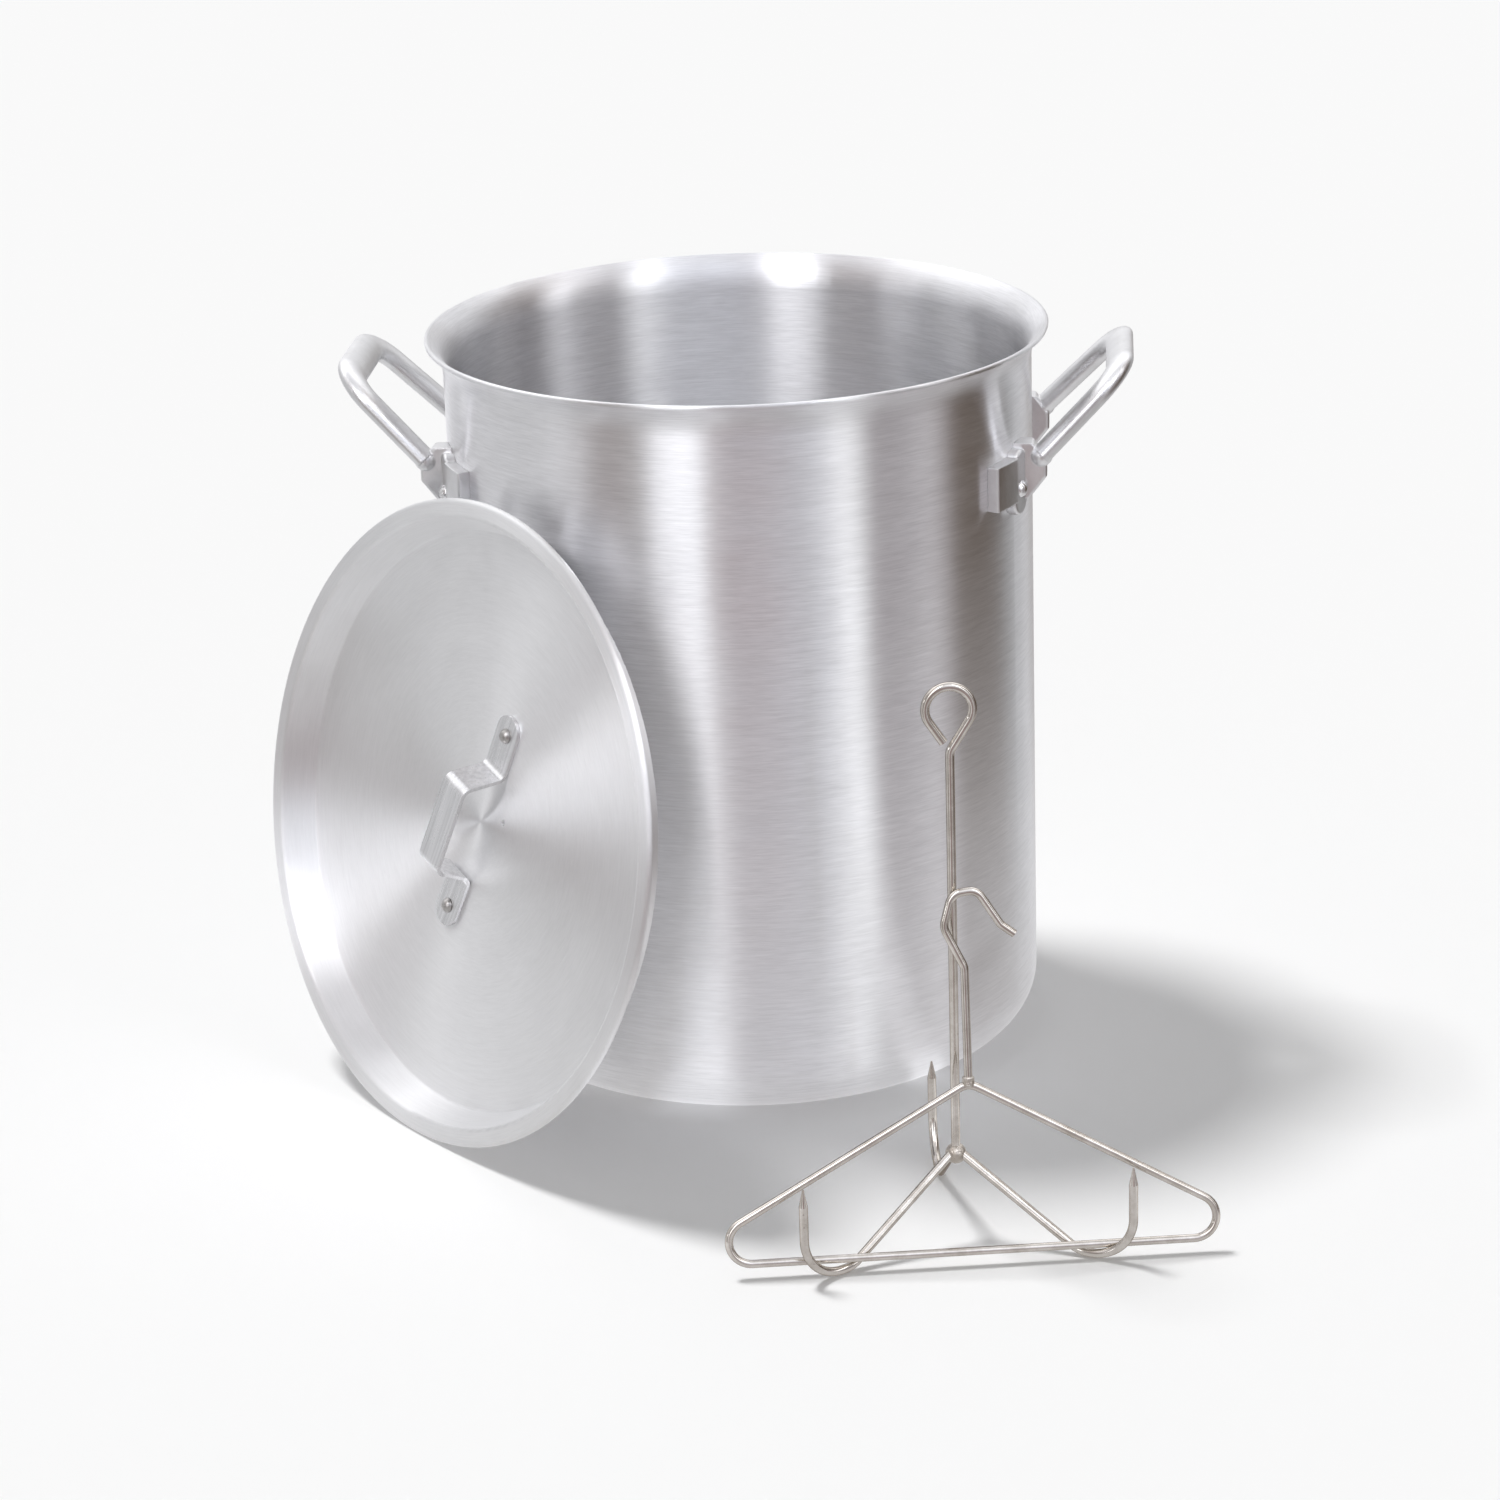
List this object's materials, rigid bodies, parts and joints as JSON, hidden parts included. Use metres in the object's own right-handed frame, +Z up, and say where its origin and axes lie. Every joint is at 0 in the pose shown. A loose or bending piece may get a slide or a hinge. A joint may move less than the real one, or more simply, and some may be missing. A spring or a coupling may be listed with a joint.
{
  "type": "stock pot set",
  "caption": "Tall straight-sided aluminium stock pot with riveted loop handles, its recessed lid leaning against it, a wire poultry rack and a lifting hook.",
  "frame": {"origin": "centre of the pot's underside, on the surface the set stands on", "axes": "+Z up along the pot's axis; +X from the pot's axis through the middle of its right-hand handle; -Y towards the side where the lid, rack and hook stand"},
  "size_m": [0.5076, 0.5048, 0.3898],
  "materials": {
    "pot_aluminium": "fine circumferential brushing, satin",
    "handle_aluminium": "cast and tumbled, semi-bright",
    "lid_aluminium": "spun, fine concentric satin",
    "strap_aluminium": "satin strap with bright edges",
    "rivet_aluminium": "bright, peened",
    "plated_wire": "bright nickel plate on steel wire"
  },
  "bodies": {
    "pot": {"pot_body": "pot_aluminium", "handle_right": "handle_aluminium", "handle_left": "handle_aluminium", "pot_rivet_1": "rivet_aluminium", "pot_rivet_2": "rivet_aluminium", "pot_rivet_3": "rivet_aluminium", "pot_rivet_4": "rivet_aluminium"},
    "lid": {"lid_cover": "lid_aluminium", "lid_handle": "strap_aluminium", "lid_rivet_upper": "rivet_aluminium", "lid_rivet_lower": "rivet_aluminium"},
    "rack": {"rack_rod": "plated_wire", "rack_prong_left": "plated_wire", "rack_prong_right": "plated_wire", "rack_prong_back": "plated_wire", "rack_weld": "plated_wire"},
    "hook": {"hook_stem": "plated_wire", "hook_frame": "plated_wire", "hook_weld": "plated_wire"}
  },
  "joints": [
    {"name": "lid_lift", "type": "slide", "parent": "pot", "child": "lid", "axis": [-0.5171, -0.4822, 0.7071], "range_m": [0, 0.35]},
    {"name": "rack_lift", "type": "slide", "parent": "pot", "child": "rack", "axis": [0, 0, 1], "range_m": [0, 0.45]},
    {"name": "hook_lift", "type": "slide", "parent": "rack", "child": "hook", "axis": [0, 0, 1], "range_m": [0, 0.3]}
  ]
}
